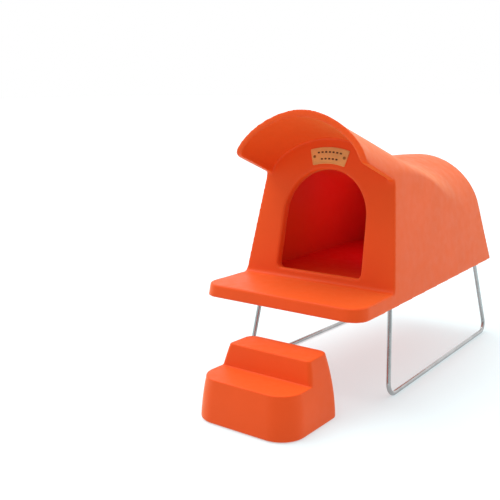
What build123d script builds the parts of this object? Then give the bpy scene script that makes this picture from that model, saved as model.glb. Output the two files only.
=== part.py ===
from build123d import *
import math
import os

os.makedirs("parts", exist_ok=True)

# Raised one-piece dog kennel on a bent rod stand, with a loose two-tread step.
# Frame: +Z up, origin on the floor at the centre of the stand, doorway faces -Y.
# All dimensions in millimetres.

# ---- shell ------------------------------------------------------------------
REAR_Y = 350.0            # rear bottom edge
PORCH_Y = -550.0          # front bottom edge of the porch
BASE_Z = 249.0            # underside of the shell
FLOOR_Z = 283.0           # porch top and cabin floor
REAR_LEAN = 0.239         # the rear face leans forward by this much per unit of height
FOOT_Y = -360.0           # where the front wall meets the porch
NECK_Y = -307.0           # where the front wall meets the hood's wings
NECK_Z = 563.0
TIP_Y = -458.0            # lower front tips of the hood
TIP_Z = 622.0
RIM_LEAN = 0.18           # the hood's rim leans back by this much per unit of height
FRONT_LEAN = (NECK_Y - FOOT_Y) / (NECK_Z - FLOOR_Z)
WALL = 20.0
FRONT_WALL = 24.0
HOOD_WALL = 19.0
HALF_REAR = 217.5         # half width of the base at the rear edge
HALF_FRONT = 246.0        # half width of the base at the porch edge
PORCH_CORNER = 48.0

# the side walls lean in by this much per unit of height: most at the rear, and evenly
# from EVEN_LEAN_Y forwards
SIDE_LEAN_REAR = 0.1945
SIDE_LEAN_FRONT = 0.122
EVEN_LEAN_Y = -330.0
# exponent of the roof's arch: 2 is an ellipse, and less is more pointed
ARCH_POWER_REAR = 1.96
ARCH_POWER_FRONT = 1.68

# stations along the length: (y, crown height, height where the side wall turns into the arch)
STATIONS = [
    (372, 581, 430),
    (225, 585, 430),
    (120, 589, 449),
    (30, 591, 490),
    (-45, 595, 529),
    (-95, 603, 548),
    (-150, 622, 560),
    (-210, 650, 566),
    (-330, 702, 575),
    (-450, 750, 616),
    (-575, 797, 661),
]

# ---- doorway ----------------------------------------------------------------
DOOR_HALF_BOTTOM = 132.0
DOOR_HALF_TOP = 127.0
DOOR_SILL_Z = 307.0
DOOR_SPRING_Z = 457.5
DOOR_LIP = 6.0

# ---- stand ------------------------------------------------------------------
ROD_R = 6.0
ROD_TOP_Z = 242.5
FLOOR_FRONT = (227.6, -361.0)     # virtual rod corners on the floor
FLOOR_REAR = (207.2, 361.0)
TOP_FRONT = (203.4, -320.4)       # virtual rod corners below the shell
TOP_REAR = (179.1, 306.9)
BEND_TOP_R = 14.0
BEND_FLOOR_R = 30.0
SCREW_X = 117.0
PAD_HALF_T = 4.0                  # half thickness of the flats pressed into the rod
PAD_R = 9.5

# ---- rear cap and hook --------------------------------------------------------
CAP_Z = 466.0
CAP_R = 37.0
CAP_T = 9.0
CAP_GAP = 3.0
HOOK_R = 3.0
STEM_R = 5.0

INSERT_R = 5.0
INSERT_T = 16.0
SCREW_R = 2.5
SCREW_L = 24.0
SCREW_HEAD_R = 5.5
PAD_YS = (225.0, -183.0)
PAD_INSET = 37.0
PAD_BASE_R = 13.0
PAD_T = 9.0
PAD_STEM_R = 5.0
PAD_STEM_T = 12.0
WASHER_T = 1.6

# ---- liner and name plate -------------------------------------------------------
LINER_GAP = 9.0
LINER_T = 6.0
PLATE_V = 150.6           # centre of the plate's arc above the porch, in the wall's plane
PLATE_IN = 168.0
PLATE_OUT = 212.0
PLATE_ANGLE = 16.7
PLATE_T = 2.0
PLATE_SCREW_R = 1.9
PLATE_SCREW_L = 14.0

# ---- step ---------------------------------------------------------------------
FOOT_R = 11.0
STEP_X = 37.5
STEP_FRONT_Y = -759.0
STEP_REAR_Y = -532.0
STEP_HALF = 148.0
STEP_TREAD1_Z = 109.0
STEP_TREAD2_Z = 166.0
STEP_RISER_Y = -647.0
STEP_FOOT = 1.5
STEP_BACK_R = 26.0


def base_half(y):
    """Half width of the shell at its underside."""
    return HALF_REAR + (HALF_FRONT - HALF_REAR) * (REAR_Y - y) / (REAR_Y - PORCH_Y)


def side_lean(y):
    """Lean of the side walls at y, per unit of height."""
    rearward = max(0, y - EVEN_LEAN_Y) / (STATIONS[0][0] - EVEN_LEAN_Y)
    return SIDE_LEAN_FRONT + (SIDE_LEAN_REAR - SIDE_LEAN_FRONT) * rearward


def arch_power(y):
    """Exponent of the roof's arch at y."""
    rearward = (y - STATIONS[-1][0]) / (STATIONS[0][0] - STATIONS[-1][0])
    return ARCH_POWER_FRONT + (ARCH_POWER_REAR - ARCH_POWER_FRONT) * rearward


def front_y(z):
    """Y of the front wall's outer face at height z."""
    return FOOT_Y + FRONT_LEAN * (z - FLOOR_Z)


def rear_y(z):
    """Y of the rear wall's outer face at height z."""
    return REAR_Y - REAR_LEAN * (z - BASE_Z)


def arch_section(station, wall=0.0, roof_wall=None, low=None):
    """Lines of one cross-section, drawn in the XZ plane; wall moves it inwards."""
    y, crown, spring = station
    roof = wall if roof_wall is None else roof_wall
    bottom_z = BASE_Z if low is None else low
    foot = base_half(y)
    slope = side_lean(y)
    a = foot - slope * (spring - BASE_Z) - wall
    top = crown - roof
    lower_half = foot - wall - slope * (bottom_z - BASE_Z)
    rise = top - spring
    reach = (8 * 0.5 ** (1 / arch_power(y)) - 4) / 3    # handle length that gives the arch exponent
    handle = reach * rise
    Line((-lower_half, bottom_z), (lower_half, bottom_z))
    Line((lower_half, bottom_z), (a, spring))
    Bezier((a, spring), (a - slope * handle, spring + handle), (reach * a, top), (0, top))
    Bezier((0, top), (-reach * a, top), (slope * handle - a, spring + handle), (-a, spring))
    Line((-a, spring), (-lower_half, bottom_z))


# outer envelope: lofted arch, trimmed by the side profile
with BuildPart() as shell:
    for station in STATIONS:
        with BuildSketch(Plane.XZ.offset(-station[0])):
            with BuildLine():
                arch_section(station)
            make_face()
    loft()
    with BuildSketch(Plane.YZ):
        with BuildLine():
            Polyline(
                (REAR_Y, BASE_Z),
                (rear_y(850), 850),
                (TIP_Y + RIM_LEAN * (850 - TIP_Z), 850),
                (TIP_Y, TIP_Z),
                (NECK_Y, NECK_Z),
                (FOOT_Y, FLOOR_Z),
                (PORCH_Y + 4, FLOOR_Z),
                (PORCH_Y, BASE_Z),
                close=True,
            )
        make_face()
        fillet(vertices().sort_by_distance((NECK_Y, NECK_Z))[0], 12)
        fillet(vertices().sort_by_distance((FOOT_Y, FLOOR_Z))[0], 14)
        fillet(vertices().sort_by_distance((TIP_Y, TIP_Z))[0], 22)
    extrude(amount=320, both=True, mode=Mode.INTERSECT)

# room inside the cabin
with BuildPart() as cabin_room:
    for station in STATIONS:
        if -400 < station[0]:
            with BuildSketch(Plane.XZ.offset(-station[0])):
                with BuildLine():
                    arch_section(station, WALL, WALL + 2, FLOOR_Z)
                make_face()
    loft()
    with BuildSketch(Plane.YZ):
        with BuildLine():
            Polyline(
                (rear_y(FLOOR_Z) - WALL, FLOOR_Z),
                (rear_y(850) - WALL, 850),
                (front_y(850) + FRONT_WALL, 850),
                (front_y(FLOOR_Z) + FRONT_WALL, FLOOR_Z),
                close=True,
            )
        make_face()
    extrude(amount=320, both=True, mode=Mode.INTERSECT)

# hollow below the hood, ahead of the front wall
with BuildPart() as hood_room:
    for station in STATIONS:
        if station[0] < -140:
            with BuildSketch(Plane.XZ.offset(-station[0])):
                with BuildLine():
                    arch_section(station, HOOD_WALL, HOOD_WALL * 1.1, 420.0)
                make_face()
    loft()
    with BuildSketch(Plane.YZ):
        with BuildLine():
            Polyline(
                (front_y(430), 430),
                (front_y(850), 850),
                (-560, 850),
                (-560, 430),
                close=True,
            )
        make_face()
    extrude(amount=320, both=True, mode=Mode.INTERSECT)


front_plane = Plane(
    origin=(0, FOOT_Y, FLOOR_Z),
    x_dir=(1, 0, 0),
    z_dir=(0, -1, FRONT_LEAN),
)
rear_plane = Plane(
    origin=(0, rear_y(CAP_Z), CAP_Z),
    x_dir=(-1, 0, 0),
    z_dir=(0, 1, REAR_LEAN),
)
UP = math.hypot(1, FRONT_LEAN)    # length along the front wall per unit of height


def door_lines(grow=0.0):
    """Outline of the doorway in the front wall's plane."""
    low = (DOOR_SILL_Z - FLOOR_Z) * UP - grow
    mid = (DOOR_SPRING_Z - FLOOR_Z) * UP
    wide = DOOR_HALF_BOTTOM + grow
    top = DOOR_HALF_TOP + grow
    Polyline((-top, mid), (-wide, low), (wide, low), (top, mid))
    ThreePointArc((top, mid), (0, mid + top), (-top, mid))


def plate_screws_at():
    """Centres of the name plate's two screws in the front wall's plane."""
    a = math.radians(14)
    r = 190
    return [
        (-r * math.sin(a), PLATE_V + r * math.cos(a)),
        (r * math.sin(a), PLATE_V + r * math.cos(a)),
    ]


# hollow out, open the doorway and drill for the fixings
with shell:
    add(cabin_room.part, mode=Mode.SUBTRACT)
    add(hood_room.part, mode=Mode.SUBTRACT)
    with BuildSketch(front_plane.offset(30)):
        with BuildLine():
            door_lines()
        make_face()
        low_corners = vertices().sort_by(Axis.Y)[0:2]
        fillet(low_corners, 13)
    extrude(amount=-75, mode=Mode.SUBTRACT)
    porch_corners = (
        edges()
        .filter_by(lambda e: e.center().Y < PORCH_Y + 10)
        .filter_by(lambda e: abs(e.center().X) > 200)
    )
    fillet(porch_corners, PORCH_CORNER)

    # soften the doorway
    lip = (
        edges()
        .filter_by(lambda e: abs(e.center().Y - front_y(e.center().Z)) < 12)
        .filter_by(lambda e: e.bounding_box().max.Z < 590)
        .filter_by(lambda e: e.bounding_box().min.Z > 300)
        .filter_by(lambda e: abs(e.center().X) < 140)
        .filter_by(
            lambda e: all(abs(v.Y - front_y(v.Z)) < 0.5 for v in e.vertices())
        )
    )
    fillet(lip, DOOR_LIP)
    # blind holes for the stand's inserts and for the pads under the base
    for y in (TOP_FRONT[1], TOP_REAR[1]):
        with Locations((SCREW_X, y, BASE_Z), (-SCREW_X, y, BASE_Z)):
            Cylinder(
                INSERT_R + 0.05,
                INSERT_T + 1,
                align=(Align.CENTER, Align.CENTER, Align.MIN),
                mode=Mode.SUBTRACT,
            )
    for y in PAD_YS:
        x = base_half(y) - PAD_INSET
        with Locations((x, y, BASE_Z), (-x, y, BASE_Z)):
            Cylinder(
                PAD_STEM_R + 0.05,
                PAD_STEM_T + 1,
                align=(Align.CENTER, Align.CENTER, Align.MIN),
                mode=Mode.SUBTRACT,
            )
    # bore for the hook's stem through the rear wall
    with BuildSketch(rear_plane.offset(5)):
        Circle(STEM_R + 0.08)
    extrude(amount=-40, mode=Mode.SUBTRACT)
    # pilot holes for the name plate's screws
    with BuildSketch(front_plane.offset(5)):
        with Locations(*plate_screws_at()):
            Circle(PLATE_SCREW_R + 0.05)
    extrude(amount=-5 - PLATE_SCREW_L - 1, mode=Mode.SUBTRACT)

# ---- stand: one closed loop of round rod ------------------------------------------


def bend(points, radii):
    """Straight runs joined by bends along a list of 3D points, one radius for each bend."""
    pts = [Vector(*p) for p in points]
    at = pts[0]
    for k, radius in enumerate(radii, 1):
        back = (pts[k - 1] - pts[k]).normalized()
        ahead = (pts[k + 1] - pts[k]).normalized()
        half = back.get_angle(ahead) * math.pi / 360
        cut = radius / math.tan(half)
        middle = (back + ahead).normalized()
        top = pts[k] + middle * (radius / math.sin(half) - radius)
        Line(at, pts[k] + back * cut)
        ThreePointArc(pts[k] + back * cut, top, pts[k] + ahead * cut)
        at = pts[k] + ahead * cut
    Line(at, pts[-1])


def flats_at():
    """Centres of the four drilled flats on the cross runs."""
    return [
        (sign * SCREW_X, y)
        for y in (TOP_FRONT[1], TOP_REAR[1])
        for sign in (1, -1)
    ]


with BuildPart() as leg_frame:
    with BuildLine() as half_loop:
        bend(
            [
                (0, TOP_FRONT[1], ROD_TOP_Z),
                (TOP_FRONT[0], TOP_FRONT[1], ROD_TOP_Z),
                (FLOOR_FRONT[0], FLOOR_FRONT[1], ROD_R),
                (FLOOR_REAR[0], FLOOR_REAR[1], ROD_R),
                (TOP_REAR[0], TOP_REAR[1], ROD_TOP_Z),
                (0, TOP_REAR[1], ROD_TOP_Z),
            ],
            [BEND_TOP_R, BEND_FLOOR_R, BEND_FLOOR_R, BEND_TOP_R],
        )
    with BuildSketch(Plane(origin=(0, TOP_FRONT[1], ROD_TOP_Z), z_dir=(1, 0, 0))):
        Circle(ROD_R)
    sweep()
    mirror(about=Plane.YZ)
    for x, y in flats_at():
        with Locations((x, y, ROD_TOP_Z + PAD_HALF_T + 5), (x, y, ROD_TOP_Z - PAD_HALF_T - 5)):
            Box(18, 16, 10, mode=Mode.SUBTRACT)
        with Locations((x, y, ROD_TOP_Z)):
            Cylinder(PAD_R, 2 * PAD_HALF_T)
            Cylinder(SCREW_R + 0.4, 20, mode=Mode.SUBTRACT)

with BuildPart() as leg_spacers:
    for x, y in flats_at():
        with Locations((x, y, ROD_TOP_Z + PAD_HALF_T)):
            Cylinder(
                9,
                BASE_Z - ROD_TOP_Z - PAD_HALF_T,
                align=(Align.CENTER, Align.CENTER, Align.MIN),
            )
            Cylinder(
                SCREW_R + 0.7,
                30,
                mode=Mode.SUBTRACT,
            )

with BuildPart() as leg_screws:
    for x, y in flats_at():
        low = ROD_TOP_Z - PAD_HALF_T
        with Locations((x, y, low)):
            Cylinder(SCREW_R, SCREW_L, align=(Align.CENTER, Align.CENTER, Align.MIN))
            Cylinder(SCREW_HEAD_R, 4, align=(Align.CENTER, Align.CENTER, Align.MAX))
    rounded = edges().filter_by(GeomType.CIRCLE).group_by(Axis.Z)[0]
    fillet(rounded, 1.5)
    for x, y in flats_at():
        with BuildSketch(Plane.XY.offset(ROD_TOP_Z - PAD_HALF_T - 4)):
            with Locations((x, y)):
                RegularPolygon(2.6, 6)
        extrude(amount=2.4, mode=Mode.SUBTRACT)

with BuildPart() as leg_inserts:
    for x, y in flats_at():
        with Locations((x, y, BASE_Z)):
            Cylinder(INSERT_R, INSERT_T, align=(Align.CENTER, Align.CENTER, Align.MIN))
            Cylinder(SCREW_R + 0.05, 60, mode=Mode.SUBTRACT)

with BuildPart() as base_pads:
    for y in PAD_YS:
        x = base_half(y) - PAD_INSET
        with Locations((x, y, BASE_Z), (-x, y, BASE_Z)):
            Cylinder(PAD_BASE_R, PAD_T, align=(Align.CENTER, Align.CENTER, Align.MAX))
            Cylinder(PAD_STEM_R, PAD_STEM_T, align=(Align.CENTER, Align.CENTER, Align.MIN))
    rounded = edges().filter_by(GeomType.CIRCLE).group_by(Axis.Z)[0]
    fillet(rounded, 3.5)

# ---- cabin floor liner ---------------------------------------------------------------
with BuildPart() as floor_liner:
    front = front_y(FLOOR_Z) + FRONT_WALL + LINER_GAP
    back = rear_y(FLOOR_Z) - WALL - LINER_GAP - 2
    wide = 215.0 - LINER_GAP
    narrow = 191.0 - LINER_GAP
    with BuildSketch(Plane.XY.offset(FLOOR_Z)):
        with BuildLine():
            Polyline(
                (-wide, front),
                (wide, front),
                (narrow, back),
                (-narrow, back),
                close=True,
            )
        make_face()
        fillet(vertices(), 14)
    extrude(amount=LINER_T)
    fillet(faces().sort_by(Axis.Z)[-1].edges(), 2)

# ---- rear cap and tail-shaped hook ------------------------------------------------------
INNER_D = WALL / math.hypot(1, REAR_LEAN)

with BuildPart() as cap_spacer:
    with BuildSketch(rear_plane):
        Circle(24)
        Circle(STEM_R + 0.08, mode=Mode.SUBTRACT)
    extrude(amount=CAP_GAP)

with BuildPart() as rear_cap:
    with BuildSketch(rear_plane.offset(CAP_GAP + 0.1)):
        Circle(CAP_R)
    extrude(amount=CAP_T)
    fillet(edges().filter_by(GeomType.CIRCLE).sort_by(Axis.Y)[-1], 3.5)
    with BuildSketch(rear_plane):
        Circle(STEM_R + 0.02)
    extrude(amount=40, mode=Mode.SUBTRACT)

with BuildPart() as tail_hook:
    with BuildSketch(rear_plane.offset(-INNER_D - WASHER_T - 7)):
        Circle(STEM_R)
    extrude(amount=INNER_D + WASHER_T + 7 + CAP_GAP + CAP_T + 1.5)
    fillet(edges().filter_by(GeomType.CIRCLE).sort_by(Axis.Y)[-1], 1.2)
    side = Plane(origin=rear_plane.origin, x_dir=rear_plane.z_dir, z_dir=(1, 0, 0))
    with BuildLine(side):
        Line((CAP_GAP + 4, 0), (CAP_GAP + CAP_T + 20, 0))
        Spline(
            (CAP_GAP + CAP_T + 20, 0),
            (CAP_GAP + CAP_T + 34, 1.2),
            (CAP_GAP + CAP_T + 48, -2.5),
            tangents=[(1, 0), (1, -0.4)],
        )
    with BuildSketch(rear_plane.offset(CAP_GAP + 4)):
        Circle(HOOK_R)
    sweep()
    tip = side.from_local_coords(Vector(CAP_GAP + CAP_T + 48, -2.5, 0))
    with Locations(tip):
        Sphere(HOOK_R + 0.6)

with BuildPart() as hook_washer:
    with BuildSketch(rear_plane.offset(-INNER_D - WASHER_T)):
        Circle(13)
        Circle(STEM_R + 0.3, mode=Mode.SUBTRACT)
    extrude(amount=WASHER_T)

with BuildPart() as hook_nut:
    with BuildSketch(rear_plane.offset(-INNER_D - WASHER_T - 0.15)):
        RegularPolygon(8.5, 6, major_radius=False)
    extrude(amount=-7)
    with BuildSketch(rear_plane.offset(-INNER_D - WASHER_T - 7.15)):
        Circle(7.6)
    extrude(amount=-6)
    fillet(edges().filter_by(GeomType.CIRCLE).sort_by(Axis.Y)[0], 4.5)
    with BuildSketch(rear_plane.offset(-INNER_D - WASHER_T)):
        Circle(STEM_R + 0.02)
    extrude(amount=-7.6, mode=Mode.SUBTRACT)

# ---- name plate ---------------------------------------------------------------------------
with BuildPart() as name_plate:
    with BuildSketch(front_plane):
        with BuildLine():
            a = math.radians(PLATE_ANGLE)
            c = PLATE_V
            outer_l = (-PLATE_OUT * math.sin(a), c + PLATE_OUT * math.cos(a))
            outer_r = (PLATE_OUT * math.sin(a), c + PLATE_OUT * math.cos(a))
            inner_l = (-PLATE_IN * math.sin(a), c + PLATE_IN * math.cos(a))
            inner_r = (PLATE_IN * math.sin(a), c + PLATE_IN * math.cos(a))
            ThreePointArc(outer_l, (0, c + PLATE_OUT), outer_r)
            Line(outer_r, inner_r)
            ThreePointArc(inner_r, (0, c + PLATE_IN), inner_l)
            Line(inner_l, outer_l)
        make_face()
        fillet(vertices(), 3)
    extrude(amount=PLATE_T)
    # two rows of plain dashes sunk into the face
    with BuildSketch(front_plane.offset(PLATE_T)):
        for radius, count, pitch in ((199, 7, 3.3), (181, 5, 3.6)):
            for k in range(count):
                angle = math.radians((k - (count - 1) / 2) * pitch)
                with Locations(
                    Location(
                        (radius * math.sin(angle), c + radius * math.cos(angle)),
                        -math.degrees(angle),
                    )
                ):
                    Rectangle(7, 5)
    extrude(amount=-0.4, mode=Mode.SUBTRACT)
    with BuildSketch(front_plane):
        with Locations(*plate_screws_at()):
            Circle(PLATE_SCREW_R + 0.2)
    extrude(amount=PLATE_T + 1, mode=Mode.SUBTRACT)

with BuildPart() as plate_screws:
    with BuildSketch(front_plane.offset(-PLATE_SCREW_L)):
        with Locations(*plate_screws_at()):
            Circle(PLATE_SCREW_R)
    extrude(amount=PLATE_SCREW_L + PLATE_T)
    with BuildSketch(front_plane.offset(PLATE_T)):
        with Locations(*plate_screws_at()):
            Circle(4)
    extrude(amount=1.8)
    fillet(edges().filter_by(GeomType.CIRCLE).group_by(Axis.Y)[0], 1.2)
    with BuildSketch(front_plane.offset(PLATE_T + 1.8)):
        with Locations(*plate_screws_at()):
            Rectangle(5.2, 1.0)
    extrude(amount=-0.9, mode=Mode.SUBTRACT)

# ---- loose step -----------------------------------------------------------------------------


# plan outlines up the step: (height, half width, front, back, radius of the front corners)
STEP_OUTLINES = [
    (STEP_FOOT, STEP_HALF, STEP_FRONT_Y, STEP_REAR_Y, 66),
    (STEP_TREAD1_Z, STEP_HALF - 11, STEP_FRONT_Y + 14, STEP_REAR_Y - 6, 60),
    (STEP_TREAD2_Z, STEP_HALF - 25, STEP_FRONT_Y + 24, STEP_REAR_Y - 12, 54),
]

with BuildPart() as step_block:
    for z, half, front, back, front_r in STEP_OUTLINES:
        with BuildSketch(Plane.XY.offset(z)):
            with BuildLine():
                Polyline(
                    (STEP_X - half, front),
                    (STEP_X + half, front),
                    (STEP_X + half - 4, back),
                    (STEP_X - half + 4, back),
                    close=True,
                )
            make_face()
            fillet(vertices().group_by(Axis.Y)[0], front_r)
            fillet(vertices().group_by(Axis.Y)[-1], STEP_BACK_R)
    loft()
    # cut away above the lower tread, ahead of the riser
    with BuildSketch(Plane.YZ):
        with BuildLine():
            Polyline(
                (STEP_RISER_Y, STEP_TREAD1_Z),
                (STEP_RISER_Y + 17, STEP_TREAD2_Z + 20),
                (STEP_FRONT_Y - 50, STEP_TREAD2_Z + 20),
                (STEP_FRONT_Y - 50, STEP_TREAD1_Z),
                close=True,
            )
        make_face()
    extrude(amount=320, both=True, mode=Mode.SUBTRACT)
    riser_corners = (
        edges()
        .filter_by(lambda e: abs(e.center().Y - STEP_RISER_Y - 6) < 8)
        .filter_by(lambda e: e.bounding_box().size.Z > 40)
    )
    fillet(riser_corners, 10)
    fillet(faces().sort_by(Axis.Z)[0].edges(), 4)
    for x in (-1, 1):
        for y in (STEP_FRONT_Y + 45, STEP_REAR_Y - 40):
            with Locations((STEP_X + x * 98, y, STEP_FOOT)):
                Cylinder(
                    FOOT_R + 0.1,
                    3.1,
                    align=(Align.CENTER, Align.CENTER, Align.MIN),
                    mode=Mode.SUBTRACT,
                )

with BuildPart() as step_feet:
    for x in (-1, 1):
        for y in (STEP_FRONT_Y + 45, STEP_REAR_Y - 40):
            with Locations((STEP_X + x * 98, y, 0)):
                Cylinder(
                    FOOT_R,
                    STEP_FOOT + 3,
                    align=(Align.CENTER, Align.CENTER, Align.MIN),
                )

# ---- export in the shared frame: origin below the middle of the whole set ---------------------
PARTS = {
    "shell": shell,
    "leg_frame": leg_frame,
    "leg_spacers": leg_spacers,
    "leg_screws": leg_screws,
    "leg_inserts": leg_inserts,
    "base_pads": base_pads,
    "floor_liner": floor_liner,
    "cap_spacer": cap_spacer,
    "rear_cap": rear_cap,
    "tail_hook": tail_hook,
    "hook_washer": hook_washer,
    "hook_nut": hook_nut,
    "name_plate": name_plate,
    "plate_screws": plate_screws,
    "step_block": step_block,
    "step_feet": step_feet,
}
boxes = [piece.part.bounding_box() for piece in PARTS.values()]
SHIFT_Y = -(min(b.min.Y for b in boxes) + max(b.max.Y for b in boxes)) / 2
print("shift", SHIFT_Y)

for name, piece in PARTS.items():
    moved = Pos(0, SHIFT_Y, 0) * piece.part
    moved.label = name
    export_step(moved, "parts/" + name + ".step")
    box = moved.bounding_box()
    print(name, len(moved.solids()), moved.is_valid, round(moved.volume), box.min, box.max)
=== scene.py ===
"""Visual model of a moulded plastic kennel on a bent rod stand, with its loose step."""

import math
from collections import namedtuple

import bmesh
import bpy
from bpy.props import FloatProperty, FloatVectorProperty, IntProperty, PointerProperty
from mathutils import Euler, Matrix, Vector


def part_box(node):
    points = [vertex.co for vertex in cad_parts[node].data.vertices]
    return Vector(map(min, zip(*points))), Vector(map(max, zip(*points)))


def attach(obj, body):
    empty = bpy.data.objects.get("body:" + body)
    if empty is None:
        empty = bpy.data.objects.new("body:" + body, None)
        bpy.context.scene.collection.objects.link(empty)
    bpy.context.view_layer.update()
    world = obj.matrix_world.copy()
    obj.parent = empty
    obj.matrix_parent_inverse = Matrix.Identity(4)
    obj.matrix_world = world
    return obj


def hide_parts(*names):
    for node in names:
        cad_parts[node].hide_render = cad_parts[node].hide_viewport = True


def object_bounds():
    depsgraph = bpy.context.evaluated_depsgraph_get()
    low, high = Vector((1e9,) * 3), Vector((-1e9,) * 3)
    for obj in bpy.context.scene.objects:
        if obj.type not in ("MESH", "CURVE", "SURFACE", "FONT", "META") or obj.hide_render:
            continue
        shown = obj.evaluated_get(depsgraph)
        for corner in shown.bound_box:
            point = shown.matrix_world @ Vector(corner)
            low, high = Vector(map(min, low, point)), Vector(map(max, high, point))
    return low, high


bl_info = {
    "name": "Moulded kennel",
    "version": (1, 0, 0),
    "blender": (4, 5, 0),
    "location": "View3D > Sidebar > Kennel",
    "description": "Builds the skins, trim, finishes and stage of a moulded kennel around its frame",
    "category": "Add Mesh",
}

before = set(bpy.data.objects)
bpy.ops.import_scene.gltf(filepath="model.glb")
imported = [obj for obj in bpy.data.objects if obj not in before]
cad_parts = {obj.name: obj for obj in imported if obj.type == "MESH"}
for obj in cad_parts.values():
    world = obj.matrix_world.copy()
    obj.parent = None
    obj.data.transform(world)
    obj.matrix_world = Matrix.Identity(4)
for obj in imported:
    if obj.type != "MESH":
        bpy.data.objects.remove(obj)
CAD_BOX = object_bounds()

MM = 0.001
MERGE_DISTANCE = 0.01 * MM
BUMP_PLASTIC = 0.25 * MM
BUMP_METAL = 0.05 * MM

# A point in the middle of the name plate's arc, and the plate's own directions.
PlateFace = namedtuple("PlateFace", "middle right up out")


# ---- values that a user may change ------------------------------------------------


class KennelSizes(bpy.types.PropertyGroup):
    """Sizes of the visual pieces."""

    shell_voxel: FloatProperty(
        name="Shell mesh size",
        description="Edge length of the shell's even mesh",
        default=2.6 * MM,
        unit="LENGTH",
    )
    shell_rounding: IntProperty(
        name="Shell rounding",
        description="Smoothing passes that soften the shell's edges",
        default=9,
    )
    shell_triangles: IntProperty(
        name="Shell triangles",
        description="Triangles left in the shell after thinning",
        default=190000,
    )
    step_voxel: FloatProperty(
        name="Step mesh size",
        description="Edge length of the step's even mesh",
        default=1.6 * MM,
        unit="LENGTH",
    )
    step_rounding: IntProperty(
        name="Step rounding",
        description="Smoothing passes that soften the step's edges",
        default=8,
    )
    step_triangles: IntProperty(
        name="Step triangles",
        description="Triangles left in the step after thinning",
        default=90000,
    )
    plate_outer: FloatProperty(
        name="Plate outer radius",
        description="Radius of the name plate's upper edge",
        default=212.0 * MM,
        unit="LENGTH",
    )
    plate_inner: FloatProperty(
        name="Plate inner radius",
        description="Radius of the name plate's lower edge",
        default=168.0 * MM,
        unit="LENGTH",
    )
    plate_half_angle: FloatProperty(
        name="Plate half angle",
        description="Angle from the middle of the name plate to its end",
        default=math.radians(16.7),
        subtype="ANGLE",
    )
    plate_border: FloatProperty(
        name="Plate border width",
        description="Width of the raised line around the name plate",
        default=1.6 * MM,
        unit="LENGTH",
    )


class KennelLights(bpy.types.PropertyGroup):
    """Strengths of the stage's lights."""

    room_light_back: FloatProperty(
        name="Room light behind",
        description="Strength of the light from above and behind the kennel",
        default=1.3,
    )
    room_light_front: FloatProperty(
        name="Room light in front",
        description="Strength of the light from in front of the kennel",
        default=0.5,
    )
    sun: FloatProperty(
        name="Sun",
        description="Strength of the wide light from above",
        default=1.8,
    )
    cabin: FloatProperty(
        name="Cabin glow",
        description="Power of the crimson light inside the cabin",
        default=0.42,
        unit="POWER",
    )
    side: FloatProperty(
        name="Side light",
        description="Power of the large light to the right of the kennel",
        default=6.0,
        unit="POWER",
    )


class KennelColours(bpy.types.PropertyGroup):
    """Colours of the finishes, as linear light."""

    plastic: FloatVectorProperty(
        name="Shell plastic",
        description="Colour of the shell, cap, pads and step",
        subtype="COLOR",
        size=3,
        default=(0.80, 0.074, 0.008),
    )
    liner: FloatVectorProperty(
        name="Liner plastic",
        description="Colour of the cabin's floor liner",
        subtype="COLOR",
        size=3,
        default=(0.70, 0.05, 0.008),
    )
    steel: FloatVectorProperty(
        name="Stainless steel",
        description="Colour of the rod stand and the hook",
        subtype="COLOR",
        size=3,
        default=(0.42, 0.42, 0.42),
    )
    brass: FloatVectorProperty(
        name="Plate brass",
        description="Colour of the name plate",
        subtype="COLOR",
        size=3,
        default=(0.78, 0.36, 0.11),
    )
    rubber: FloatVectorProperty(
        name="Rubber",
        description="Colour of the stand's spacers and the step's feet",
        subtype="COLOR",
        size=3,
        default=(0.045, 0.045, 0.045),
    )


# ---- shader groups shared by several finishes -------------------------------------


def new_group(name, inputs, outputs):
    """An empty shader group with float, colour or vector sockets."""
    group = bpy.data.node_groups.new(name, "ShaderNodeTree")
    for label, kind, value in inputs:
        socket = group.interface.new_socket(label, in_out="INPUT", socket_type=kind)
        if value is not None:
            socket.default_value = value
    for label, kind in outputs:
        group.interface.new_socket(label, in_out="OUTPUT", socket_type=kind)
    return group


def add_node(tree, kind, **settings):
    """A node with its attributes and, by socket name or number, its inputs set."""
    node = tree.nodes.new(kind)
    for key, value in settings.items():
        if key == "inputs":
            for socket, entry in value.items():
                node.inputs[socket].default_value = entry
        else:
            setattr(node, key, value)
    return node


def remap(tree, value, old_range, new_range, **settings):
    """A value moved from one range to another by a Map Range node."""
    ends = {1: old_range[0], 2: old_range[1], 3: new_range[0], 4: new_range[1]}
    node = add_node(tree, "ShaderNodeMapRange", inputs=ends, **settings)
    tree.links.new(value, node.inputs[0])
    return node.outputs[0]


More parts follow.
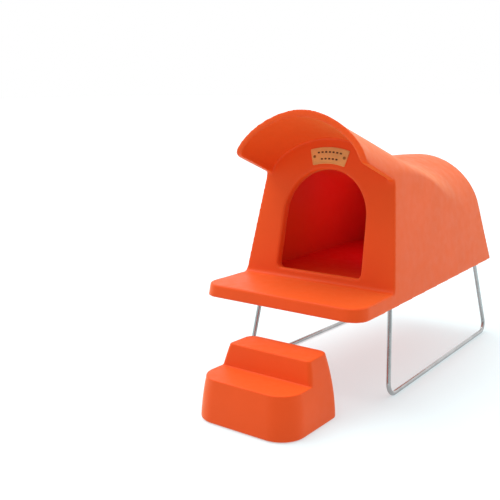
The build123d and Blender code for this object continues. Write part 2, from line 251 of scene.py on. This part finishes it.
def moulded_grain():
    """Fine pebbled skin and slow colour drift of a rotational moulding."""
    name = "moulded_grain"
    if name in bpy.data.node_groups:
        return bpy.data.node_groups[name]
    group = new_group(
        name,
        [
            ("Colour", "NodeSocketColor", (0.8, 0.1, 0.02, 1)),
            ("Drift", "NodeSocketFloat", 0.05),
            ("Pebble", "NodeSocketFloat", 420.0),
            ("Roughness", "NodeSocketFloat", 0.5),
        ],
        [
            ("Colour", "NodeSocketColor"),
            ("Roughness", "NodeSocketFloat"),
            ("Height", "NodeSocketFloat"),
        ],
    )
    link = group.links.new
    gin = add_node(group, "NodeGroupInput")
    out = add_node(group, "NodeGroupOutput")
    place = add_node(group, "ShaderNodeTexCoord")

    slow_noise = {"Scale": 5.5, "Detail": 4.0, "Roughness": 0.55}
    slow = add_node(group, "ShaderNodeTexNoise", inputs=slow_noise)
    link(place.outputs["Object"], slow.inputs["Vector"])
    around = remap(group, slow.outputs["Fac"], (0.3, 0.7), (-1.0, 1.0))
    share = add_node(group, "ShaderNodeMath", operation="MULTIPLY")
    link(around, share.inputs[0])
    link(gin.outputs["Drift"], share.inputs[1])
    value = add_node(group, "ShaderNodeMath", operation="ADD", inputs={1: 1.0})
    link(share.outputs[0], value.inputs[0])
    tint = add_node(group, "ShaderNodeHueSaturation")
    link(value.outputs[0], tint.inputs["Value"])
    link(gin.outputs["Colour"], tint.inputs["Color"])
    link(tint.outputs["Color"], out.inputs["Colour"])

    pebble = add_node(group, "ShaderNodeTexNoise", inputs={"Detail": 3.0, "Roughness": 0.5})
    link(place.outputs["Object"], pebble.inputs["Vector"])
    link(gin.outputs["Pebble"], pebble.inputs["Scale"])
    swell = add_node(group, "ShaderNodeTexNoise", inputs={"Scale": 38.0, "Detail": 2.0})
    link(place.outputs["Object"], swell.inputs["Vector"])
    both = add_node(group, "ShaderNodeMath", operation="MULTIPLY_ADD", inputs={1: 0.35})
    link(swell.outputs["Fac"], both.inputs[0])
    link(pebble.outputs["Fac"], both.inputs[2])
    link(both.outputs[0], out.inputs["Height"])

    patchy = remap(group, swell.outputs["Fac"], (0.3, 0.7), (-0.06, 0.06))
    rough = add_node(group, "ShaderNodeMath", operation="ADD")
    link(gin.outputs["Roughness"], rough.inputs[0])
    link(patchy, rough.inputs[1])
    link(rough.outputs[0], out.inputs["Roughness"])
    return group


def drawn_metal():
    """Fine brushed lines and smears on drawn or rolled metal."""
    name = "drawn_metal"
    if name in bpy.data.node_groups:
        return bpy.data.node_groups[name]
    group = new_group(
        name,
        [
            ("Colour", "NodeSocketColor", (0.6, 0.6, 0.6, 1)),
            ("Line scale", "NodeSocketVector", (900.0, 40.0, 900.0)),
            ("Roughness", "NodeSocketFloat", 0.3),
            ("Spread", "NodeSocketFloat", 0.1),
        ],
        [
            ("Colour", "NodeSocketColor"),
            ("Roughness", "NodeSocketFloat"),
            ("Height", "NodeSocketFloat"),
        ],
    )
    link = group.links.new
    gin = add_node(group, "NodeGroupInput")
    out = add_node(group, "NodeGroupOutput")
    place = add_node(group, "ShaderNodeTexCoord")
    stretch = add_node(group, "ShaderNodeVectorMath", operation="MULTIPLY")
    link(place.outputs["Object"], stretch.inputs[0])
    link(gin.outputs["Line scale"], stretch.inputs[1])
    lines = add_node(group, "ShaderNodeTexNoise", inputs={"Scale": 1.0, "Detail": 3.0})
    link(stretch.outputs["Vector"], lines.inputs["Vector"])
    smear = add_node(group, "ShaderNodeTexNoise", inputs={"Scale": 26.0, "Detail": 4.0})
    link(place.outputs["Object"], smear.inputs["Vector"])

    mixed = add_node(group, "ShaderNodeMath", operation="ADD")
    link(lines.outputs["Fac"], mixed.inputs[0])
    link(smear.outputs["Fac"], mixed.inputs[1])
    centred = remap(group, mixed.outputs[0], (0.7, 1.3), (-1.0, 1.0))
    swing = add_node(group, "ShaderNodeMath", operation="MULTIPLY_ADD")
    link(centred, swing.inputs[0])
    link(gin.outputs["Spread"], swing.inputs[1])
    link(gin.outputs["Roughness"], swing.inputs[2])
    link(swing.outputs[0], out.inputs["Roughness"])

    shade = remap(group, smear.outputs["Fac"], (0.35, 0.65), (0.88, 1.06))
    tint = add_node(group, "ShaderNodeHueSaturation")
    link(shade, tint.inputs["Value"])
    link(gin.outputs["Colour"], tint.inputs["Color"])
    link(tint.outputs["Color"], out.inputs["Colour"])
    link(lines.outputs["Fac"], out.inputs["Height"])
    return group


# ---- finishes -----------------------------------------------------------------------


def blank_material(name):
    """A material with only a Principled BSDF and its output."""
    material = bpy.data.materials.new(name)
    material.use_nodes = True
    tree = material.node_tree
    tree.nodes.clear()
    shader = tree.nodes.new("ShaderNodeBsdfPrincipled")
    out = tree.nodes.new("ShaderNodeOutputMaterial")
    tree.links.new(shader.outputs["BSDF"], out.inputs["Surface"])
    return material, tree, shader


def bump(tree, height, shader, strength, distance):
    """Feeds a height through a Bump node to the shader's normal."""
    node = tree.nodes.new("ShaderNodeBump")
    node.inputs["Strength"].default_value = strength
    node.inputs["Distance"].default_value = distance
    tree.links.new(height, node.inputs["Height"])
    tree.links.new(node.outputs["Normal"], shader.inputs["Normal"])


def plastic_finish(name, colour, roughness, drift, pebble, strength, haze=0.0):
    """Satin polyethylene with a pebbled moulding skin; haze whitens it where it is seen edge-on."""
    if name in bpy.data.materials:
        return bpy.data.materials[name]
    material, tree, shader = blank_material(name)
    grain = tree.nodes.new("ShaderNodeGroup")
    grain.node_tree = moulded_grain()
    grain.inputs["Colour"].default_value = (*colour, 1)
    grain.inputs["Drift"].default_value = drift
    grain.inputs["Pebble"].default_value = pebble
    grain.inputs["Roughness"].default_value = roughness
    tree.links.new(grain.outputs["Colour"], shader.inputs["Base Color"])
    tree.links.new(grain.outputs["Roughness"], shader.inputs["Roughness"])
    shader.inputs["IOR"].default_value = 1.5
    shader.inputs["Specular IOR Level"].default_value = 0.15
    shader.inputs["Sheen Weight"].default_value = haze
    shader.inputs["Sheen Roughness"].default_value = 0.5
    shader.inputs["Sheen Tint"].default_value = (1.0, 0.72, 0.2, 1)
    bump(tree, grain.outputs["Height"], shader, strength, BUMP_PLASTIC)
    return material


def metal_finish(name, colour, roughness, spread, lines, strength, metal=1.0):
    """Brushed metal; lines is how fast the brushing changes along each axis."""
    if name in bpy.data.materials:
        return bpy.data.materials[name]
    material, tree, shader = blank_material(name)
    drawn = tree.nodes.new("ShaderNodeGroup")
    drawn.node_tree = drawn_metal()
    drawn.inputs["Colour"].default_value = (*colour, 1)
    drawn.inputs["Line scale"].default_value = lines
    drawn.inputs["Roughness"].default_value = roughness
    drawn.inputs["Spread"].default_value = spread
    tree.links.new(drawn.outputs["Colour"], shader.inputs["Base Color"])
    tree.links.new(drawn.outputs["Roughness"], shader.inputs["Roughness"])
    shader.inputs["Metallic"].default_value = metal
    bump(tree, drawn.outputs["Height"], shader, strength, BUMP_METAL)
    return material


def colours():
    """The user's colours."""
    return bpy.context.scene.kennel_colours


def sizes():
    """The user's sizes."""
    return bpy.context.scene.kennel_sizes


def light_values():
    """The user's light strengths."""
    return bpy.context.scene.kennel_lights


def orange_plastic():
    return plastic_finish("moulded_orange", colours().plastic, 0.46, 0.035, 430.0, 0.35, 0.24)


def liner_plastic():
    return plastic_finish("liner_sheet", colours().liner, 0.6, 0.05, 260.0, 0.6)


def stainless():
    return metal_finish("brushed_rod", colours().steel, 0.25, 0.03, (500, 500, 500), 0.08)


def fixing_steel():
    return metal_finish("plain_steel", colours().steel, 0.34, 0.08, (700, 700, 700), 0.2)


def plate_brass():
    return metal_finish("plate_brass", colours().brass, 0.5, 0.12, (160, 600, 900), 0.5, 0.5)


def toned_brass():
    dark = [c * 0.42 for c in colours().brass]
    return metal_finish("toned_brass", dark, 0.5, 0.08, (300, 900, 900), 0.3)


def enamel():
    return plastic_finish("enamel", (0.11, 0.035, 0.012), 0.35, 0.1, 900.0, 0.2)


def grey_rubber():
    return plastic_finish("moulded_rubber", colours().rubber, 0.72, 0.08, 600.0, 0.5)


# ---- helpers for meshes ---------------------------------------------------------------


def link_object(name, mesh, material):
    """A new object at the origin with that mesh and finish."""
    obj = bpy.data.objects.new(name, mesh)
    bpy.context.scene.collection.objects.link(obj)
    mesh.materials.clear()
    mesh.materials.append(material)
    return obj


def settle(obj):
    """Applies an object's modifiers to its mesh."""
    depsgraph = bpy.context.evaluated_depsgraph_get()
    mesh = bpy.data.meshes.new_from_object(obj.evaluated_get(depsgraph))
    old = obj.data
    obj.modifiers.clear()
    obj.data = mesh
    bpy.data.meshes.remove(old)
    return mesh


def smooth_shade(mesh):
    mesh.polygons.foreach_set("use_smooth", [True] * len(mesh.polygons))
    mesh.update()


def even_skin(node, name, voxel, passes, triangles, material):
    """A skin over a CAD node: an even mesh of it whose edges are rubbed soft, then thinned out."""
    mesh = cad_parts[node].data.copy()
    mesh.name = name
    work = bmesh.new()
    work.from_mesh(mesh)
    bmesh.ops.remove_doubles(work, verts=work.verts, dist=MERGE_DISTANCE)
    work.to_mesh(mesh)
    work.free()
    obj = link_object(name, mesh, material)
    remesh = obj.modifiers.new("even", "REMESH")
    remesh.mode = "VOXEL"
    remesh.voxel_size = voxel
    rub = obj.modifiers.new("rub", "SMOOTH")
    rub.factor = 0.5
    rub.iterations = passes
    settle(obj)
    thin = obj.modifiers.new("thin", "DECIMATE")
    thin.ratio = min(1.0, triangles / (2 * len(obj.data.polygons)))
    settle(obj)
    obj.data.name = name
    obj.data.materials.clear()
    obj.data.materials.append(material)
    smooth_shade(obj.data)
    return obj


def finish_node(node, material):
    """Gives a CAD node a better finish."""
    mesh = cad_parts[node].data
    mesh.materials.clear()
    mesh.materials.append(material)


# ---- the name plate's face ---------------------------------------------------------------


def plate_face():
    """Middle of the plate's arc and the directions right, up and outwards on its front face."""
    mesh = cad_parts["name_plate"].data
    forward = [p for p in mesh.polygons if p.normal.y < -0.9]
    out = sum((p.normal * p.area for p in forward), Vector()).normalized()
    right = Vector((1, 0, 0))
    up = out.cross(right)
    top = max(v.co.dot(up) for v in mesh.vertices)
    level = max(v.co.dot(out) for v in mesh.vertices)
    middle = up * (top - sizes().plate_outer) + out * level
    return PlateFace(middle, right, up, out)


def on_plate(face, radius, angle, rise=0.0):
    """A point on the plate at a radius and angle from its arc's middle, lifted by rise."""
    away = face.right * math.sin(angle) + face.up * math.cos(angle)
    return face.middle + away * radius + face.out * rise


def squared(value):
    """A sine or cosine swollen so that a circle becomes a soft-cornered square."""
    return math.copysign(abs(value) ** 0.5, value)


def round_slab(work, face, radius, angle, size, top, bottom):
    """A soft-cornered slab lying on the plate, pointing along its arc."""
    sides = 16
    chamfer = 0.15 * MM
    top_share = 0.86
    width, height = size
    along = face.right * math.cos(angle) - face.up * math.sin(angle)
    away = face.right * math.sin(angle) + face.up * math.cos(angle)
    centre = on_plate(face, radius, angle)
    loops = []
    for scale, rise in ((1.0, bottom), (1.0, top - chamfer), (top_share, top)):
        loop = []
        for k in range(sides):
            turn = 2 * math.pi * k / sides
            x = squared(math.cos(turn)) * width / 2 * scale
            y = squared(math.sin(turn)) * height / 2 * scale
            loop.append(work.verts.new(centre + along * x + away * y + face.out * rise))
        loops.append(loop)
    for low, high in zip(loops, loops[1:]):
        for k in range(sides):
            after = (k + 1) % sides
            work.faces.new((low[k], low[after], high[after], high[k]))
    work.faces.new(loops[-1])
    work.faces.new(reversed(loops[0]))


def plate_outline(face, inset, corner, steps):
    """Points of the plate's outline moved in by inset, following its arcs, with round corners."""
    s = sizes()
    outer = s.plate_outer - inset
    inner = s.plate_inner + inset
    half = s.plate_half_angle - inset / s.plate_outer
    middle = (outer + inner) / 2
    reach = half * middle - corner
    corners = [
        (-reach, outer - corner, math.pi),
        (reach, outer - corner, math.pi / 2),
        (reach, inner + corner, 0.0),
        (-reach, inner + corner, -math.pi / 2),
    ]
    flat = []
    for across, radius, start in corners:
        for k in range(steps + 1):
            turn = start - math.pi / 2 * k / steps
            swing = Vector((math.cos(turn), math.sin(turn))) * corner
            flat.append(Vector((across, radius)) + swing)
    points = []
    for k, spot in enumerate(flat):
        ahead = flat[(k + 1) % len(flat)]
        parts = max(1, round((ahead - spot).length / corner))
        for j in range(parts):
            here = spot.lerp(ahead, j / parts)
            points.append(on_plate(face, here.y, here.x / middle))
    return points


def bead(work, points, out, width, height):
    """A half-round raised line along a closed path."""
    parts = 6
    count = len(points)
    loops = []
    for k, point in enumerate(points):
        ahead = (points[(k + 1) % count] - points[k - 1]).normalized()
        side = ahead.cross(out).normalized()
        loop = []
        for j in range(parts + 1):
            turn = math.pi * j / parts
            shift = side * (math.cos(turn) * width / 2) + out * (math.sin(turn) * height)
            loop.append(work.verts.new(point + shift))
        loops.append(loop)
    for k in range(count):
        low, high = loops[k], loops[(k + 1) % count]
        for j in range(parts):
            work.faces.new((low[j], low[j + 1], high[j + 1], high[j]))
        work.faces.new((low[parts], low[0], high[0], high[parts]))


# ---- operators ---------------------------------------------------------------------------


class KENNEL_OT_shell(bpy.types.Operator):
    """Builds the shell's soft-edged skin"""

    bl_idname = "kennel.shell"
    bl_label = "Shell"

    def execute(self, context):
        s = sizes()
        voxel = s.shell_voxel
        skin = even_skin(
            "shell", "shell_skin", voxel, s.shell_rounding, s.shell_triangles, orange_plastic()
        )
        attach(skin, "kennel")
        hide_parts("shell")
        return {"FINISHED"}


class KENNEL_OT_step(bpy.types.Operator):
    """Builds the loose step's soft-edged skin and finishes its rubber feet"""

    bl_idname = "kennel.step"
    bl_label = "Step"

    def execute(self, context):
        s = sizes()
        skin = even_skin(
            "step_block", "step_skin", s.step_voxel, s.step_rounding, s.step_triangles, orange_plastic()
        )
        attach(skin, "step")
        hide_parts("step_block")
        finish_node("step_feet", grey_rubber())
        return {"FINISHED"}


class KENNEL_OT_stand(bpy.types.Operator):
    """Finishes the rod stand, its fixings and the pads below the shell"""

    bl_idname = "kennel.stand"
    bl_label = "Stand"

    def execute(self, context):
        finish_node("leg_frame", stainless())
        finish_node("leg_screws", fixing_steel())
        finish_node("leg_inserts", toned_brass())
        finish_node("leg_spacers", grey_rubber())
        finish_node("base_pads", orange_plastic())
        return {"FINISHED"}


class KENNEL_OT_liner(bpy.types.Operator):
    """Finishes the cabin's floor liner"""

    bl_idname = "kennel.liner"
    bl_label = "Floor liner"

    def execute(self, context):
        finish_node("floor_liner", liner_plastic())
        return {"FINISHED"}


class KENNEL_OT_hook(bpy.types.Operator):
    """Finishes the rear cap, the hook and its fixings"""

    bl_idname = "kennel.hook"
    bl_label = "Rear hook"

    def execute(self, context):
        for node in ("rear_cap", "cap_spacer"):
            finish_node(node, orange_plastic())
        finish_node("tail_hook", stainless())
        for node in ("hook_washer", "hook_nut"):
            finish_node(node, fixing_steel())
        return {"FINISHED"}


class KENNEL_OT_plate(bpy.types.Operator):
    """Finishes the name plate and its screws, and adds its marks and raised border"""

    bl_idname = "kennel.plate"
    bl_label = "Name plate"

    # Each row of dashes: radius, how many, and degrees from one to the next.
    mark_rows = ((199.0 * MM, 7, 3.3), (181.0 * MM, 5, 3.6))
    mark_size = (6.6 * MM, 4.6 * MM)
    mark_top = -0.05 * MM
    mark_bottom = -0.38 * MM
    border_inset = 2.2 * MM
    border_corner = 3.0 * MM
    border_height = 0.5 * MM

    def execute(self, context):
        finish_node("name_plate", plate_brass())
        finish_node("plate_screws", toned_brass())
        face = plate_face()
        self.marks(face)
        self.border(face)
        return {"FINISHED"}

    def marks(self, face):
        """Dark enamel in the plate's sunk dashes."""
        work = bmesh.new()
        for radius, count, pitch in self.mark_rows:
            for k in range(count):
                angle = math.radians((k - (count - 1) / 2) * pitch)
                round_slab(
                    work, face, radius, angle, self.mark_size, self.mark_top, self.mark_bottom
                )
        self.keep(work, "plate_marks", enamel())

    def border(self, face):
        """Raised line just inside the plate's edge."""
        work = bmesh.new()
        line = plate_outline(face, self.border_inset, self.border_corner, 8)
        bead(work, line, face.out, sizes().plate_border, self.border_height)
        self.keep(work, "plate_border", plate_brass())

    def keep(self, work, name, material):
        """Makes a piece of the plate from finished faces."""
        bmesh.ops.recalc_face_normals(work, faces=work.faces)
        mesh = bpy.data.meshes.new(name)
        work.to_mesh(mesh)
        work.free()
        obj = link_object(name, mesh, material)
        smooth_shade(mesh)
        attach(obj, "kennel")


class KENNEL_OT_stage(bpy.types.Operator):
    """Sets the floor, lights, camera and surroundings"""

    bl_idname = "kennel.stage"
    bl_label = "Stage"

    brightest = (-0.5, 0.75, 0.45)
    floor_reach = 60.0
    sun_from = (-0.36, -0.12, 0.9)
    sun_spread = math.radians(50)
    side_place = (3.0, 0.4, 1.6)
    side_size = (1.6, 2.4)
    glow_height = 0.17
    eye_place = (1.1098, -1.9164, 0.7954)
    eye_yaw = math.radians(37.891)
    eye_pitch = math.radians(-12.983)
    eye_roll = math.radians(-0.606)
    eye_lens = 56.65
    eye_shift = (0.0183, 0.0390)

    def execute(self, context):
        scene = context.scene
        self.floor()
        self.lights()
        self.camera(scene)
        scene.world = self.surroundings()
        scene.view_settings.view_transform = "Standard"
        return {"FINISHED"}

    def surroundings(self):
        """White where the camera looks past the floor, and dimmer as light."""
        world = bpy.data.worlds.new("pale_room")
        world.use_nodes = True
        tree = world.node_tree
        back = tree.nodes["Background"]
        back.inputs["Color"].default_value = (1.0, 1.0, 1.0, 1)
        place = tree.nodes.new("ShaderNodeTexCoord")
        aside = add_node(tree, "ShaderNodeVectorMath", operation="DOT_PRODUCT")
        aside.inputs[1].default_value = Vector(self.brightest).normalized()
        tree.links.new(place.outputs["Generated"], aside.inputs[0])
        values = light_values()
        ends = (values.room_light_front, values.room_light_back)
        nearness = aside.outputs["Value"]
        dim = remap(tree, nearness, (-0.4, 0.8), ends, interpolation_type="SMOOTHSTEP")
        seen = tree.nodes.new("ShaderNodeLightPath")
        level = add_node(tree, "ShaderNodeMix", inputs={"B": 1.0})
        tree.links.new(seen.outputs["Is Camera Ray"], level.inputs["Factor"])
        tree.links.new(dim, level.inputs["A"])
        tree.links.new(level.outputs["Result"], back.inputs["Strength"])
        return world

    def floor(self):
        """A wide pale floor, tinted against the orange light that falls on it."""
        mesh = bpy.data.meshes.new("floor")
        reach = self.floor_reach
        corners = [(-reach, -reach, 0), (reach, -reach, 0), (reach, reach, 0), (-reach, reach, 0)]
        mesh.from_pydata(corners, [], [(0, 1, 2, 3)])
        material, tree, shader = blank_material("pale_floor")
        shader.inputs["Base Color"].default_value = (0.42, 0.50, 0.51, 1)
        shader.inputs["Roughness"].default_value = 0.9
        shader.inputs["Specular IOR Level"].default_value = 0.0
        shader.inputs["Emission Color"].default_value = (0.9, 0.97, 1.0, 1)
        shader.inputs["Emission Strength"].default_value = 0.5
        obj = link_object("floor", mesh, material)

    def lamp(self, name, kind, energy, place, facing=None):
        """A light at a place, shining along facing if that is given."""
        light = bpy.data.lights.new(name, kind)
        light.energy = energy
        obj = bpy.data.objects.new(name, light)
        bpy.context.scene.collection.objects.link(obj)
        obj.location = place
        if facing is not None:
            obj.rotation_euler = facing.to_track_quat("-Z", "Y").to_euler()
        return obj

    def lights(self):
        """A wide sun, a crimson glow in the cabin and a large light at the side."""
        values = light_values()
        sun = self.lamp("sky", "SUN", values.sun, (-1.0, -0.6, 3.0), -Vector(self.sun_from))
        sun.data.angle = self.sun_spread

        low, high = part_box("floor_liner")
        place = (0.0, (low.y + high.y) / 2, high.z + self.glow_height)
        glow = self.lamp("glow", "POINT", values.cabin, place)
        glow.data.color = (1.0, 0.03, 0.9)
        glow.data.shadow_soft_size = 0.1
        glow.visible_camera = False
        glow.visible_glossy = False

        middle = (CAD_BOX[0] + CAD_BOX[1]) / 2
        place = Vector(self.side_place)
        side = self.lamp("side", "AREA", values.side, place, middle - place)
        side.data.shape = "RECTANGLE"
        side.data.size = self.side_size[0]
        side.data.size_y = self.side_size[1]

    def camera(self, scene):
        """A camera in front of the kennel, to its right."""
        data = bpy.data.cameras.new("camera")
        data.sensor_width = 36.0
        data.lens = self.eye_lens
        data.shift_x = self.eye_shift[0]
        data.shift_y = self.eye_shift[1]
        data.clip_end = 100.0
        eye = bpy.data.objects.new("camera", data)
        scene.collection.objects.link(eye)
        eye.location = self.eye_place
        turn = Euler((math.pi / 2 + self.eye_pitch, 0, self.eye_yaw), "XYZ").to_matrix()
        eye.rotation_euler = (turn @ Matrix.Rotation(self.eye_roll, 3, "Z")).to_euler()
        scene.camera = eye


class KENNEL_PT_panel(bpy.types.Panel):
    """Lists the kennel's pieces and values"""

    bl_idname = "KENNEL_PT_panel"
    bl_label = "Moulded kennel"
    bl_space_type = "VIEW_3D"
    bl_region_type = "UI"
    bl_category = "Kennel"

    def draw(self, context):
        layout = self.layout
        scene = context.scene
        for group in (scene.kennel_sizes, scene.kennel_lights, scene.kennel_colours):
            for key in group.bl_rna.properties.keys():
                if key not in {"rna_type", "name"}:
                    layout.prop(group, key)
        for operator in OPERATORS:
            layout.operator(operator.bl_idname)


OPERATORS = (
    KENNEL_OT_shell,
    KENNEL_OT_step,
    KENNEL_OT_stand,
    KENNEL_OT_liner,
    KENNEL_OT_hook,
    KENNEL_OT_plate,
    KENNEL_OT_stage,
)
CLASSES = (KennelSizes, KennelLights, KennelColours, *OPERATORS, KENNEL_PT_panel)


def register():
    for item in CLASSES:
        bpy.utils.register_class(item)
    bpy.types.Scene.kennel_sizes = PointerProperty(type=KennelSizes)
    bpy.types.Scene.kennel_lights = PointerProperty(type=KennelLights)
    bpy.types.Scene.kennel_colours = PointerProperty(type=KennelColours)


def unregister():
    del bpy.types.Scene.kennel_colours
    del bpy.types.Scene.kennel_lights
    del bpy.types.Scene.kennel_sizes
    for item in reversed(CLASSES):
        bpy.utils.unregister_class(item)


def main():
    register()
    for operator in OPERATORS:
        group, name = operator.bl_idname.split(".")
        getattr(getattr(bpy.ops, group), name)()


if __name__ == "__main__":
    main()
